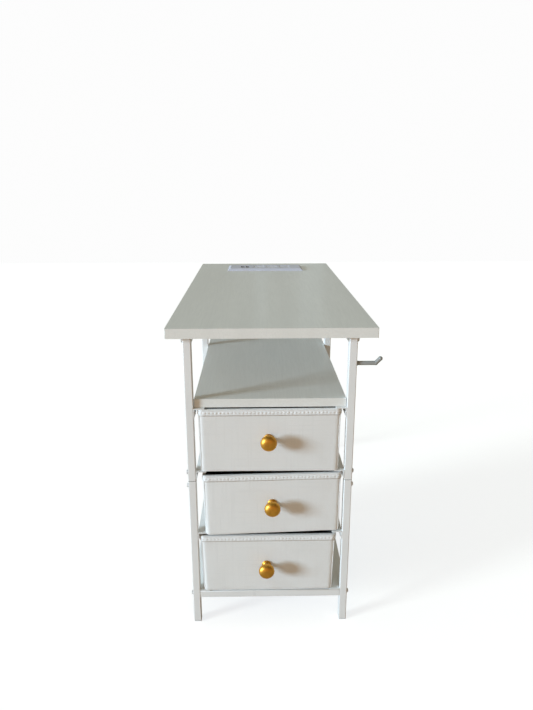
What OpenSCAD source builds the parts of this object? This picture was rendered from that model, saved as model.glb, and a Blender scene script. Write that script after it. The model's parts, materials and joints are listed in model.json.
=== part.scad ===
// Small steel-framed sewing table: laminate top with a power unit at its far end,
// and a tower of three pull-out fabric drawers under its near end.
// X runs across the table, Y from the drawer end to the far end, Z up from the floor.

/* [Top] */
// Width of the table top, side to side
top_w = 452; // [450:1:500]
// How far the top's middle stands to the right of the drawer tower's middle
top_shift = 3; // [0:1:6]
// Length of the table top, drawer end to far end
top_l = 975; // [960:5:1200]
// Height of the table top's surface above the floor
top_h = 750; // [740:1:780]
// Thickness of the table top
top_t = 22; // [18:1:25]

/* [Frame] */
// Side of the square steel tube
tube = 18; // [18:1:20]
// Wall of the square steel tube
wall = 1.2; // [1:0.1:1.5]
// Outer radius of the tube's corners
tube_r = 2; // [1.8:0.1:2.5]
// Width of the drawer tower over its posts
tower_w = 376; // [376:1:380]
// Depth of the drawer tower over its posts
tower_l = 465; // [460:1:480]
// Overhang of the top beyond the end posts
overhang = 15; // [8:1:20]
// Height of the joint that divides each post in two
joint_z = 386; // [384:1:390]
// Thickness of each foot cap
foot_t = 3; // [2:0.5:4]

/* [Shelf and drawers] */
// Height of the shelf's surface
shelf_h = 584; // [584:1:600]
// Thickness of the shelf board
shelf_t = 20; // [18:0.5:20]
// How far the shelf's front edge stands behind the posts' front faces
shelf_setback = 8; // [4:1:12]
// How far the shelf reaches behind the drawer tower
shelf_overhang = 55; // [0:5:60]
// Outer width of each fabric drawer
drawer_w = 318; // [312:1:319]
// Outer depth of each fabric drawer
drawer_l = 430; // [400:5:440]
// Outer height of each fabric drawer
drawer_h = 150; // [140:1:150]
// Height of the lowest drawer's underside
drawer_z = 90; // [86:1:90]
// Height from one drawer to the next
drawer_pitch = 160.5; // [158:0.5:160.5]
// Sideways place of the upper drawer in the tower
upper_play = -1; // [-1:0.5:1]
// Sideways place of the middle drawer in the tower
middle_play = 4.5; // [-5:0.5:5]
// Sideways place of the lower drawer in the tower
lower_play = -5; // [-5:0.5:5]
// Thickness of the drawers' side and back walls, cloth over board
drawer_wall = 4; // [3.5:0.5:5]
// Thickness of the drawers' front wall
drawer_front = 8; // [7:0.5:10]
// Radius of the drawers' upright corners
drawer_r = 6; // [4:0.5:8]

/* [Knobs and hook] */
// Diameter of each knob's ball
knob_d = 37; // [30:0.5:38]
// How far each knob stands out from the drawer front
knob_l = 38; // [34:0.5:40]
// How far the upper knob stands below the middle of its drawer's front
upper_knob_drop = -6; // [-8:1:8]
// How far the middle knob stands below the middle of its drawer's front
middle_knob_drop = -2; // [-8:1:8]
// How far the lower knob stands below the middle of its drawer's front
lower_knob_drop = 3; // [-8:1:8]
// How far the upper knob stands to the right of the middle of its drawer's front
upper_knob_side = -3; // [-6:1:6]
// How far the middle knob stands to the right of the middle of its drawer's front
middle_knob_side = 0; // [-6:1:6]
// How far the lower knob stands to the right of the middle of its drawer's front
lower_knob_side = -4; // [-6:1:6]
// Diameter of the side hook's rod
hook_d = 9.5; // [8:0.5:10]
// Length of the hook's level arm
hook_run = 42; // [30:1:45]
// Length of the hook's raised tip
hook_tip = 14; // [12:1:22]
// Height of the hook's arm above the floor
hook_z = 665; // [640:1:680]

/* [Power unit] */
// Length of the power unit's bezel across the table
power_w = 253; // [240:1:280]
// Width of the bezel along the table
power_l = 100; // [90:1:104]
// How far the bezel stands above the table top
power_rise = 7; // [4:0.5:10]
// Gap from the bezel to the top's far edge
power_gap = 77; // [60:1:90]

/* [Hidden] */
$fn = 48;
eps = 0.01;
white = [0.86, 0.86, 0.84];
laminate = [0.74, 0.74, 0.70];
steel = [0.72, 0.73, 0.74];
linen = [0.83, 0.82, 0.79];
card = [0.62, 0.53, 0.40];
gold = [0.80, 0.60, 0.22];
lilac = [0.70, 0.71, 0.76];
dark = [0.12, 0.12, 0.13];

LEFT = -1;
RIGHT = 1;
SIDES = [LEFT, RIGHT];
SIDE_NAMES = ["left", "right"];
ROW_NAMES = ["front", "rear", "far"];
LEVEL_NAMES = ["upper", "middle", "lower"];

// Posts: three rows of two, named by their place along the table
post_x = (tower_w - tube) / 2;
bay_x = post_x - tube / 2;
outer_x = post_x + tube / 2;
row_y = [overhang + tube / 2, overhang + tower_l - tube / 2, top_l - overhang - tube / 2];
post_top = top_h - top_t;
rail_z = post_top - tube / 2;
rear_bar_z = post_top - tube * 3 / 2;
far_bar_z = post_top - 43;
front_face = overhang;
tower_back = overhang + tower_l;

// Tube fittings
plug_side = tube - 2 * wall - 0.2;
plug_l = 22;
sleeve_wall = 3;
sleeve_up = 34;
sleeve_down = 28;
sleeve_lip_h = 1;
sleeve_lip_side = tube - 1;
connector_side = 12;
connector_reach = 30;
connector_gap = 1.5;
slot_side = connector_side + 0.4;
foot_plug_h = 14;

// Bolts and screws
bolt_d = 6;
bolt_hole = 6.4;
bolt_head_d = 11;
bolt_head_h = 4;
hex_key = 4.6;
hex_depth = 2.4;
joint_bolt_l = 9;
joint_bolt_up = 20;
joint_bolt_down = 14;
bar_bolt_l = tube + 20;
rail_bolt_l = 15.5;
screw_d = 4;
screw_hole = 4.5;
screw_head_d = 7;
screw_head_h = 2;
screw_l = 8;
top_screw_l = 32;

// Sheet-steel angles; the lowest pair lies on the crossbars
angle_t = 2;
angle_w = 24;
angle_h = 20;
run_gap = 0.5;
low_z = drawer_z - run_gap - angle_t - tube / 2;
shelf_angle_h = 22;
runner_screw_drop = 7.5;
shelf_screw_x = bay_x - 5.6;
shelf_screw_z = shelf_h - shelf_t - 14;

// Drawers
drawer_play = [upper_play, middle_play, lower_play];
knob_z = [for (drop = [upper_knob_drop, middle_knob_drop, lower_knob_drop]) drawer_h / 2 - drop];
knob_x = [upper_knob_side, middle_knob_side, lower_knob_side];
level_z = [drawer_z + 2 * drawer_pitch, drawer_z + drawer_pitch, drawer_z];
drawer_floor = 2;
base_t = 3;
base_gap = 4;
board_t = 2;
front_board_t = 4;
board_margin = 12;
board_top = 3;
knob_flange_d = 22;
knob_flange_h = 3;
knob_stem_d = 10;
knob_ball_h = 22;
knob_bore = 12;
knob_screw_l = drawer_front + knob_bore - 1;

// Hook
hook_rise = 46;
hook_bend_d = hook_d + 0.8;
hook_ball_d = hook_d + 0.6;
hook_collar_d = 11.5;
hook_collar_h = 2;
hook_nut_side = 10;
hook_nut_h = 5;

// Power unit
power_y = top_l - power_gap - power_l / 2;
cutout_w = power_w - 10;
cutout_l = power_l - 6;
housing_w = cutout_w - 3;
housing_l = cutout_l - 2;
housing_h = 46;
housing_wall = 2;
bevel_x = 8;
bevel_y = 8;
outlet_x = [-22, 22, 66];
outlet_w = 35;
outlet_l = 40;
outlet_sink = 1;
outlet_h = 14;
usb_x = [-77, -61];
usb_w = 11;
usb_l = 34;
usb_mouth_w = 5;
usb_mouth_l = 13;
usb_mouth_y = [-9, 9];
usb_depth = 12;
gland_x = 96;

// The model's origin is the middle of its whole outline, at floor level
outline_right = outer_x + hook_run + hook_tip * cos(hook_rise) + hook_ball_d / 2;
outline_left = top_shift - top_w / 2;
outline_front = front_face - knob_l;
origin_x = (outline_right + outline_left) / 2;
origin_y = (outline_front + top_l) / 2;

POSTS = [for (r = ROW_NAMES, s = SIDE_NAMES, h = ["upper", "lower"]) str(r, "_", s, "_post_", h)];
DRAWER_PARTS = ["shell", "stiffeners", "base_board", "knob", "knob_screw"];
DRAWERS = [for (l = LEVEL_NAMES, p = DRAWER_PARTS) str(l, "_drawer_", p)];
FITTINGS = [
    "table_top", "power_bezel", "power_housing", "power_outlets", "usb_ports",
    "terminal_block", "cable_gland", "power_unit_clips",
    "left_top_rail", "right_top_rail", "tower_top_rails", "bottom_side_rails",
    "front_bottom_crossbar", "rear_bottom_crossbar", "rear_top_crossbar",
    "far_top_crossbar", "far_bottom_crossbar",
    "leg_joint_sleeves", "rail_connectors", "crossbar_end_plugs", "foot_caps",
    "joint_bolts", "crossbar_bolts", "rail_bolts", "frame_screws", "top_screws",
    "shelf_board", "shelf_angles", "upper_runners", "middle_runners", "lower_runners",
    "side_hook", "hook_nut"
];

// ---------- shared shapes ----------

module placed() { translate([-origin_x, -origin_y, 0]) children(); }

module rounded_rect(w, l, r) {
    square([w - 2 * r, l], center = true);
    square([w, l - 2 * r], center = true);
    for (x = [-1, 1], y = [-1, 1])
        translate([x * (w / 2 - r), y * (l / 2 - r)]) circle(r);
}

module tube_section() {
    difference() {
        rounded_rect(tube, tube, tube_r);
        rounded_rect(tube - 2 * wall, tube - 2 * wall, tube_r - wall);
    }
}

module tube_x(x0, x1, y, z)
    translate([x0, y, z]) rotate([0, 90, 0]) linear_extrude(x1 - x0) tube_section();

module tube_y(y0, y1, x, z)
    translate([x, y0, z]) rotate([-90, 0, 0]) linear_extrude(y1 - y0) tube_section();

module block(x0, x1, y0, y1, z0, z1) translate([x0, y0, z0]) cube([x1 - x0, y1 - y0, z1 - z0]);

// A cylinder along X, from x0 towards the given side
module rod_x(side, x0, length, d, y, z)
    translate([x0, y, z]) rotate([0, side * 90, 0]) cylinder(d = d, h = length);

// Button-head bolt pointing down, its head's underside at the origin
module bolt(length) {
    difference() {
        union() {
            cylinder(d = bolt_head_d, h = bolt_head_h * 0.45);
            translate([0, 0, bolt_head_h * 0.45])
                cylinder(d1 = bolt_head_d, d2 = bolt_head_d * 0.62, h = bolt_head_h * 0.55);
        }
        translate([0, 0, bolt_head_h - hex_depth]) cylinder(d = hex_key, h = hex_depth + 1, $fn = 6);
    }
    translate([0, 0, -length]) cylinder(d = bolt_d, h = length + eps);
}

// Bolt put in from the outer face of a post or a rail
module side_bolt(side, y, z, length)
    translate([side * outer_x, y, z]) rotate([0, side * 90, 0]) bolt(length);

// Pan-head screw pointing up, its head's underside at the origin
module screw(length) {
    difference() {
        union() {
            translate([0, 0, -screw_head_h * 0.6])
                cylinder(d = screw_head_d, h = screw_head_h * 0.6);
            translate([0, 0, -screw_head_h])
                cylinder(d1 = screw_head_d * 0.7, d2 = screw_head_d, h = screw_head_h * 0.4);
        }
        for (a = [0, 90]) rotate(a) translate([-1.8, -0.35, -screw_head_h - 1]) cube([3.6, 0.7, 2.2]);
    }
    translate([0, 0, -eps]) cylinder(d = screw_d, h = length);
}

// Screw put in from inside the frame, pointing out to one side
module side_screw(side, x, y, z, length)
    translate([side * x, y, z]) rotate([0, side * 90, 0]) screw(length);

// ---------- where the fasteners go ----------

// Crossbars: [row, height of the tube's middle, place along the table]
CROSSBARS = [
    [0, low_z, row_y[0]], [1, low_z, row_y[1]], [1, rear_bar_z, row_y[1]],
    [2, far_bar_z, row_y[2]], [2, low_z, row_y[2]]
];

// Screws through the angles: [inner face, place along the table, height]
ANGLE_SCREWS = concat(
    [for (l = [0, 1], r = [0, 1]) [bay_x - angle_t, row_y[r], level_z[l] - runner_screw_drop]],
    [for (r = [0, 1]) [bay_x - angle_t, row_y[r], shelf_screw_z]],
    [for (y = [row_y[0] + 26, row_y[1] - 26]) [bay_x - angle_t, y, low_z]]
);

// Screws through the top rails' inner faces into the connectors
RAIL_SCREWS = [
    for (y = [row_y[0] + 26, row_y[1] - 26, row_y[1] + 26, row_y[2] - 26]) [bay_x, y, rail_z]
];

SHELF_SCREWS = [for (y = [120, 380]) y];
TOP_SCREWS = [110, 390, 600, 860];

module frame_screw_set(clearance = false) {
    for (side = SIDES) {
        for (p = concat(ANGLE_SCREWS, RAIL_SCREWS)) {
            if (clearance) rod_x(side, side * (p[0] - 1), screw_l, screw_hole, p[1], p[2]);
            else side_screw(side, p[0], p[1], p[2], screw_l);
        }
        for (y = SHELF_SCREWS) translate([side * shelf_screw_x, y, shelf_h - shelf_t - angle_t]) {
            if (clearance) translate([0, 0, -1]) cylinder(d = screw_hole, h = angle_t + 2);
            else screw(screw_l);
        }
    }
}

// ---------- top and power unit ----------

module table_top() placed() color(laminate) {
    difference() {
        translate([top_shift, top_l / 2, post_top]) linear_extrude(top_t) rounded_rect(top_w, top_l, 1.5);
        translate([top_shift, power_y, post_top - 1])
            linear_extrude(top_t + 2) rounded_rect(cutout_w, cutout_l, 3);
    }
}

module bezel_body() {
    x = power_w / 2;
    y = power_l / 2;
    intersection() {
        translate([0, y, 0]) rotate([90, 0, 0]) linear_extrude(power_l)
            polygon([[-x, 0], [x, 0], [x, 2], [x - bevel_x, power_rise],
                [bevel_x - x, power_rise], [-x, 2]]);
        translate([-x, 0, 0]) rotate([90, 0, 90]) linear_extrude(power_w)
            polygon([[-y, 0], [y, 0], [y, 2], [y - bevel_y, power_rise],
                [bevel_y - y, power_rise], [-y, 2]]);
    }
}

module power_bezel() placed() color(lilac) translate([top_shift, power_y, top_h]) {
    difference() {
        bezel_body();
        for (x = outlet_x) translate([x, 0, -1])
            linear_extrude(power_rise + 2) rounded_rect(outlet_w + 0.4, outlet_l + 0.4, 3);
        for (x = usb_x) translate([x, 0, -1])
            linear_extrude(power_rise + 2) rounded_rect(usb_w + 0.4, usb_l + 0.4, 1.2);
    }
}

module power_housing() placed() color(white) translate([top_shift, power_y, top_h - housing_h]) {
    difference() {
        linear_extrude(housing_h) rounded_rect(housing_w, housing_l, 3);
        translate([0, 0, housing_wall]) linear_extrude(housing_h)
            rounded_rect(housing_w - 2 * housing_wall, housing_l - 2 * housing_wall, 2);
        translate([gland_x, 0, -1]) cylinder(d = 9, h = housing_wall + 2);
    }
}

module outlet_slots() {
    for (x = [-6.3, 6.3]) translate([x - 1.2, -2, -9]) cube([2.4, 8, 12]);
    translate([0, -7.5, -9]) cylinder(d = 5.4, h = 12);
}

module power_outlets() placed() color(white)
    for (x = outlet_x) translate([top_shift + x, power_y, top_h + power_rise - outlet_sink]) difference() {
        translate([0, 0, -outlet_h]) linear_extrude(outlet_h) rounded_rect(outlet_w, outlet_l, 3);
        outlet_slots();
    }

module usb_ports() placed() color(dark)
    for (x = usb_x) translate([top_shift + x, power_y, top_h + power_rise - outlet_sink]) difference() {
        translate([0, 0, -outlet_h]) linear_extrude(outlet_h) rounded_rect(usb_w, usb_l, 1.2);
        for (y = usb_mouth_y) translate([-usb_mouth_w / 2, y - usb_mouth_l / 2, -usb_depth])
            cube([usb_mouth_w, usb_mouth_l, usb_depth + 1]);
    }

module terminal_block() placed() color(dark)
    translate([top_shift, power_y, top_h - housing_h + housing_wall])
        linear_extrude(housing_h - housing_wall + power_rise - outlet_sink - outlet_h)
            rounded_rect(housing_w - 14, housing_l - 2 * housing_wall - 6, 2);

module cable_gland() placed() color(dark) translate([top_shift + gland_x, power_y, top_h - housing_h]) {
    difference() {
        union() {
            translate([0, 0, -6]) cylinder(d = 15, h = 6, $fn = 6);
            translate([0, 0, -16]) cylinder(d1 = 10, d2 = 12, h = 10);
        }
        translate([0, 0, -17]) cylinder(d = 7, h = 18);
    }
}

// Spring clips that hold the housing against the underside of the top
module power_unit_clips() placed() color(steel) for (x = [-70, 40], dy = [-1, 1]) translate([top_shift, 0, 0]) {
    y0 = power_y + dy * housing_l / 2;
    y1 = y0 + dy * 1.2;
    y2 = y0 + dy * 12;
    block(x - 8, x + 8, min(y0, y1), max(y0, y1), post_top - 16, post_top);
    block(x - 8, x + 8, min(y1, y2), max(y1, y2), post_top - 1.2, post_top);
}

// ---------- frame ----------

// Square openings in a post for the connectors, and round ones for the bolts and screws
module post_openings(row, side) {
    x = side * post_x;
    y = row_y[row];
    toward = [[1], [-1, 1], [-1]][row];
    for (dy = toward)
        block(x - slot_side / 2, x + slot_side / 2, min(y, y + dy * tube), max(y, y + dy * tube),
            rail_z - slot_side / 2, rail_z + slot_side / 2);
    if (row < 2) {
        dy = row == 0 ? 1 : -1;
        block(x - slot_side / 2, x + slot_side / 2, min(y, y + dy * tube), max(y, y + dy * tube),
            low_z - slot_side / 2, low_z + slot_side / 2);
    }
    for (bar = CROSSBARS) if (bar[0] == row)
        rod_x(side, side * (bay_x - 1), tube + 2, bolt_hole, y, bar[1]);
    for (z = [joint_z + joint_bolt_up, joint_z - joint_bolt_down, rail_z])
        rod_x(side, side * post_x, tube, bolt_hole, y, z);
    if (row == 0 && side == RIGHT) rod_x(side, side * post_x, tube, bolt_hole, y, hook_z);
}

module post(row, side, z0, z1) placed() color(white) difference() {
    translate([side * post_x, row_y[row], z0]) linear_extrude(z1 - z0) tube_section();
    post_openings(row, side);
}

module top_rail(side, r0, r1) placed() color(white) difference() {
    tube_y(row_y[r0] + tube / 2, row_y[r1] - tube / 2, side * post_x, rail_z);
    frame_screw_set(clearance = true);
    for (y = TOP_SCREWS) translate([side * post_x, y, rail_z - tube]) cylinder(d = screw_hole, h = 2 * tube);
}

module bottom_side_rails() placed() color(white) for (side = SIDES) difference() {
    tube_y(row_y[0] + tube / 2, row_y[1] - tube / 2, side * post_x, low_z);
    frame_screw_set(clearance = true);
}

module crossbar(i) placed() color(white) tube_x(-bay_x, bay_x, CROSSBARS[i][2], CROSSBARS[i][1]);

module crossbar_end_plugs() placed() color(dark) for (bar = CROSSBARS, side = SIDES) difference() {
    translate([side * (bay_x - plug_l / 2), bar[2], bar[1]]) cube([plug_l, plug_side, plug_side], center = true);
    rod_x(side, side * (bay_x - plug_l - 1), plug_l + 2, bolt_d, bar[2], bar[1]);
}

// Each sleeve has a thin lip on which the upper tube stands
module leg_joint_sleeves() placed() color(dark) for (side = SIDES, y = row_y) difference() {
    translate([side * post_x, y, joint_z]) difference() {
        union() {
            translate([0, 0, -sleeve_down]) linear_extrude(sleeve_up + sleeve_down)
                square(plug_side, center = true);
            translate([0, 0, -sleeve_lip_h / 2]) linear_extrude(sleeve_lip_h)
                square(sleeve_lip_side, center = true);
        }
        translate([0, 0, -sleeve_down - 1]) linear_extrude(sleeve_up + sleeve_down + 2)
            square(plug_side - 2 * sleeve_wall, center = true);
    }
    for (z = [joint_z + joint_bolt_up, joint_z - joint_bolt_down])
        rod_x(side, side * post_x, tube, bolt_d, y, z);
}

// Bars that pass through a post and into the rails on either side of it
module rail_connector(side, y0, y1, z, bolt_y, bore) difference() {
    block(side * post_x - connector_side / 2, side * post_x + connector_side / 2, y0, y1,
        z - connector_side / 2, z + connector_side / 2);
    rod_x(side, side * (bay_x - 1), tube + 2, bore, bolt_y, z);
}

module rail_connectors() placed() color(steel) for (side = SIDES) {
    inner = tube / 2 - wall - connector_gap;
    reach = tube / 2 + connector_reach;
    rail_connector(side, row_y[0] - inner, row_y[0] + reach, rail_z, row_y[0], bolt_d);
    rail_connector(side, row_y[1] - reach, row_y[1] + reach, rail_z, row_y[1], bolt_d);
    rail_connector(side, row_y[2] - reach, row_y[2] + inner, rail_z, row_y[2], bolt_d);
    rail_connector(side, row_y[0] - inner, row_y[0] + reach, low_z, row_y[0], bolt_hole);
    rail_connector(side, row_y[1] - reach, row_y[1] + inner, low_z, row_y[1], bolt_hole);
}

module foot_caps() placed() color(white) for (side = SIDES, y = row_y) translate([side * post_x, y, 0]) {
    linear_extrude(foot_t) rounded_rect(tube, tube, tube_r);
    translate([0, 0, foot_t - eps]) linear_extrude(foot_plug_h) square(plug_side, center = true);
}

module joint_bolts() placed() color(steel)
    for (side = SIDES, y = row_y, z = [joint_z + joint_bolt_up, joint_z - joint_bolt_down])
        side_bolt(side, y, z, joint_bolt_l);

module crossbar_bolts() placed() color(steel)
    for (side = SIDES, bar = CROSSBARS) side_bolt(side, bar[2], bar[1], bar_bolt_l);

module rail_bolts() placed() color(steel)
    for (side = SIDES, y = row_y) side_bolt(side, y, rail_z, rail_bolt_l);

module frame_screws() placed() color(steel) frame_screw_set();

module top_screws() placed() color(steel)
    for (side = SIDES, y = TOP_SCREWS) translate([side * post_x, y, rail_z - tube / 2]) screw(top_screw_l);

// ---------- shelf and runners ----------

module shelf_board() placed() color(laminate)
    block(-bay_x + 1, bay_x - 1, front_face + shelf_setback, tower_back + shelf_overhang,
        shelf_h - shelf_t, shelf_h);

// Steel angle with a level flange inwards and an upright flange below it
module angle_bar(side, z, flange_h, y0, y1) {
    x0 = bay_x - angle_w;
    x1 = bay_x - angle_t;
    block(min(side * x0, side * bay_x), max(side * x0, side * bay_x), front_face, tower_back, z - angle_t, z);
    block(min(side * x1, side * bay_x), max(side * x1, side * bay_x), y0, y1, z - flange_h, z - angle_t + eps);
}

module shelf_angles() placed() color(white) for (side = SIDES) difference() {
    angle_bar(side, shelf_h - shelf_t, shelf_angle_h, front_face, tower_back);
    frame_screw_set(clearance = true);
}

module runners(level) placed() color(white) for (side = SIDES) difference() {
    lowest = level == 2;
    y0 = lowest ? front_face + tube + 1 : front_face;
    y1 = lowest ? tower_back - tube - 1 : tower_back;
    angle_bar(side, level_z[level] - run_gap, angle_h, y0, y1);
    frame_screw_set(clearance = true);
}

// ---------- drawers ----------

// Puts a drawer's pieces in place: its front's lower middle becomes the origin
module in_bay(level) placed() translate([drawer_play[level], front_face, level_z[level]]) children();

// Pockets in the walls, open at the rim, and the boards that fill them
module wall_boards(grow) {
    h = drawer_h - board_top + (grow > 0 ? board_top + 1 : 0);
    side_l = drawer_l - 2 * board_margin;
    front_w = drawer_w - 2 * board_margin;
    z0 = drawer_floor + 2;
    mid_y = drawer_l / 2;
    translate([-front_w / 2, (drawer_front - front_board_t) / 2, z0]) cube([front_w, front_board_t, h - z0]);
    translate([-front_w / 2, drawer_l - (drawer_wall + board_t) / 2, z0]) cube([front_w, board_t, h - z0]);
    for (s = SIDES)
        translate([s * (drawer_w - drawer_wall) / 2 - board_t / 2, mid_y - side_l / 2, z0])
            cube([board_t, side_l, h - z0]);
}

module knob_screw_hole(level)
    translate([knob_x[level], -1, knob_z[level]]) rotate([-90, 0, 0])
        cylinder(d = screw_hole, h = drawer_front + 2);

module drawer_shell(level) in_bay(level) color(linen) difference() {
    translate([0, drawer_l / 2, 0]) linear_extrude(drawer_h) rounded_rect(drawer_w, drawer_l, drawer_r);
    translate([-drawer_w / 2 + drawer_wall, drawer_front, drawer_floor])
        cube([drawer_w - 2 * drawer_wall, drawer_l - drawer_front - drawer_wall, drawer_h]);
    wall_boards(1);
    knob_screw_hole(level);
}

module drawer_stiffeners(level) in_bay(level) color(card) difference() {
    wall_boards(0);
    knob_screw_hole(level);
}

module drawer_base_board(level) in_bay(level) color(card)
    translate([-drawer_w / 2 + drawer_wall + base_gap, drawer_front + base_gap, drawer_floor])
        cube([drawer_w - 2 * (drawer_wall + base_gap),
            drawer_l - drawer_front - drawer_wall - 2 * base_gap, base_t]);

// Half outline of a knob, from the drawer front outwards
module knob_outline() {
    edge_r = knob_ball_h / 2;
    ball_z = knob_l - edge_r;
    square([knob_flange_d / 2, knob_flange_h]);
    square([knob_stem_d / 2, ball_z]);
    translate([0, ball_z - edge_r]) square([knob_d / 2 - edge_r, knob_ball_h]);
    intersection() {
        translate([knob_d / 2 - edge_r, ball_z]) circle(edge_r);
        translate([0, ball_z - edge_r]) square([knob_d / 2, knob_ball_h]);
    }
}

module drawer_knob(level) in_bay(level) color(gold)
    translate([knob_x[level], 0, knob_z[level]]) rotate([90, 0, 0]) difference() {
        rotate_extrude() knob_outline();
        translate([0, 0, -1]) cylinder(d = screw_d, h = knob_bore + 1);
    }

module drawer_knob_screw(level) in_bay(level) color(steel)
    translate([knob_x[level], drawer_front, knob_z[level]]) rotate([90, 0, 0]) screw(knob_screw_l);

// ---------- side hook ----------

module side_hook() placed() color(white) {
    y = row_y[0];
    rod_x(RIGHT, post_x, tube / 2 + eps, bolt_d, y, hook_z);
    rod_x(RIGHT, outer_x, hook_collar_h, hook_collar_d, y, hook_z);
    rod_x(RIGHT, outer_x, hook_run, hook_d, y, hook_z);
    translate([outer_x + hook_run, y, hook_z]) {
        sphere(d = hook_bend_d);
        rotate([0, 90 - hook_rise, 0]) {
            cylinder(d = hook_d, h = hook_tip);
            translate([0, 0, hook_tip]) sphere(d = hook_ball_d);
        }
    }
}

module hook_nut() placed() color(steel) {
    x = outer_x - wall - hook_nut_h;
    difference() {
        translate([x, row_y[0], hook_z]) rotate([0, 90, 0])
            cylinder(d = hook_nut_side, h = hook_nut_h, $fn = 6);
        rod_x(RIGHT, x - 1, hook_nut_h + 2, bolt_d, row_y[0], hook_z);
    }
}

// ---------- the whole table ----------

table_top();
power_bezel();
power_housing();
power_outlets();
usb_ports();
terminal_block();
cable_gland();
power_unit_clips();
for (side = SIDES) top_rail(side, 0, 1);  // tower_top_rails
top_rail(LEFT, 1, 2);  // left_top_rail
top_rail(RIGHT, 1, 2);  // right_top_rail
bottom_side_rails();
crossbar(0);  // front_bottom_crossbar
crossbar(1);  // rear_bottom_crossbar
crossbar(2);  // rear_top_crossbar
crossbar(3);  // far_top_crossbar
crossbar(4);  // far_bottom_crossbar
leg_joint_sleeves();
rail_connectors();
crossbar_end_plugs();
foot_caps();
joint_bolts();
crossbar_bolts();
rail_bolts();
frame_screws();
top_screws();
shelf_board();
shelf_angles();
runners(0);  // upper_runners
runners(1);  // middle_runners
runners(2);  // lower_runners
side_hook();
hook_nut();
for (row = [0, 1, 2], i = [0, 1]) {
    name = str(ROW_NAMES[row], "_", SIDE_NAMES[i], "_post_");
    post(row, SIDES[i], joint_z + sleeve_lip_h / 2, post_top);
    post(row, SIDES[i], foot_t, joint_z - sleeve_lip_h / 2);
}
for (level = [0, 1, 2]) {
    name = str(LEVEL_NAMES[level], "_drawer_");
    drawer_shell(level);
    drawer_stiffeners(level);
    drawer_base_board(level);
    drawer_knob(level);
    drawer_knob_screw(level);
}
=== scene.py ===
"""Looks for a slim sewing table: laminate top with a power unit, painted steel frame, shelf and
three fabric drawers with gold knobs. Everything is in metres, in the frame of the CAD model:
+X to the right of a person who faces the drawers, +Y away from that person, +Z up."""
import json
import math

import bpy
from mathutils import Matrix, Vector, noise


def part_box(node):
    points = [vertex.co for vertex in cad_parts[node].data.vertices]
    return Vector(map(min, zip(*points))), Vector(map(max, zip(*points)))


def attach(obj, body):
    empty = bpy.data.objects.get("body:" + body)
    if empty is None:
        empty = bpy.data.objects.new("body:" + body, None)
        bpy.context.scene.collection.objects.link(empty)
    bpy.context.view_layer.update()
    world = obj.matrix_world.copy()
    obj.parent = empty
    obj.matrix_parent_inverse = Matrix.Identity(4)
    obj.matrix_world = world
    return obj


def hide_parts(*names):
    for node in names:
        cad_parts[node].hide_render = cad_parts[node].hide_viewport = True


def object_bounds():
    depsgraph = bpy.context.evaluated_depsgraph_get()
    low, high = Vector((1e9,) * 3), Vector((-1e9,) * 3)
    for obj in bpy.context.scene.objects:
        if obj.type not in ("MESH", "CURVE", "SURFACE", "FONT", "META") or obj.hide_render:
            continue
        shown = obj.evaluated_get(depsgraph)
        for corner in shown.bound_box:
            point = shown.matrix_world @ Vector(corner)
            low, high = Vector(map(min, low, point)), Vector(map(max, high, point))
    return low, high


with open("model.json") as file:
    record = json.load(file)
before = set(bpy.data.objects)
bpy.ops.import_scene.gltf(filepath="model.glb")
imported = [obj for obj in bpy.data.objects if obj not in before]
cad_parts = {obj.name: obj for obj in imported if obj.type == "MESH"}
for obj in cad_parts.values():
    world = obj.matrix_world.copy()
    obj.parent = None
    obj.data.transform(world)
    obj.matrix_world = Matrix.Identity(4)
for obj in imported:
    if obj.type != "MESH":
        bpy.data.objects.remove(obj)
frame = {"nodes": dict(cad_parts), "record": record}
cad_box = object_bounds()

MM = 0.001
LEVELS = ("upper", "middle", "lower")
NODES = frame["nodes"]


# ---------------------------------------------------------------- places taken from the frame

def centre_of(node):
    lo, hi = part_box(node)
    return (lo + hi) / 2


tower_x = (centre_of("front_left_post_upper").x + centre_of("front_right_post_upper").x) / 2
top_front_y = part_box("table_top")[0].y


# ---------------------------------------------------------------- camera

EYE_LEFT = 31.2 * MM        # left of the tower's middle
EYE_AHEAD = 1202.8 * MM     # in front of the top's front edge
EYE_HEIGHT = 1052.9 * MM    # over the floor


def make_camera():
    """A person's view down onto the drawer end of the table."""
    camera = bpy.data.objects.new("camera", bpy.data.cameras.new("camera"))
    bpy.context.scene.collection.objects.link(camera)
    camera.data.lens = 30.0
    camera.data.sensor_width = 36.0
    camera.location = (tower_x - EYE_LEFT, top_front_y - EYE_AHEAD, EYE_HEIGHT)
    pitch, yaw, roll = math.radians(16.706), math.radians(1.097), math.radians(0.07)
    camera.rotation_euler = (math.pi / 2 - pitch, roll, -yaw)
    bpy.context.scene.camera = camera


# ---------------------------------------------------------------- material helpers

def add_node(tree, kind, links=(), **settings):
    """A node with its properties set and its inputs linked or given a value."""
    made = tree.nodes.new(kind)
    for label, value in settings.items():
        setattr(made, label, value)
    for label, source in dict(links).items():
        if isinstance(source, bpy.types.NodeSocket):
            tree.links.new(source, made.inputs[label])
        else:
            made.inputs[label].default_value = source
    return made


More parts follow.
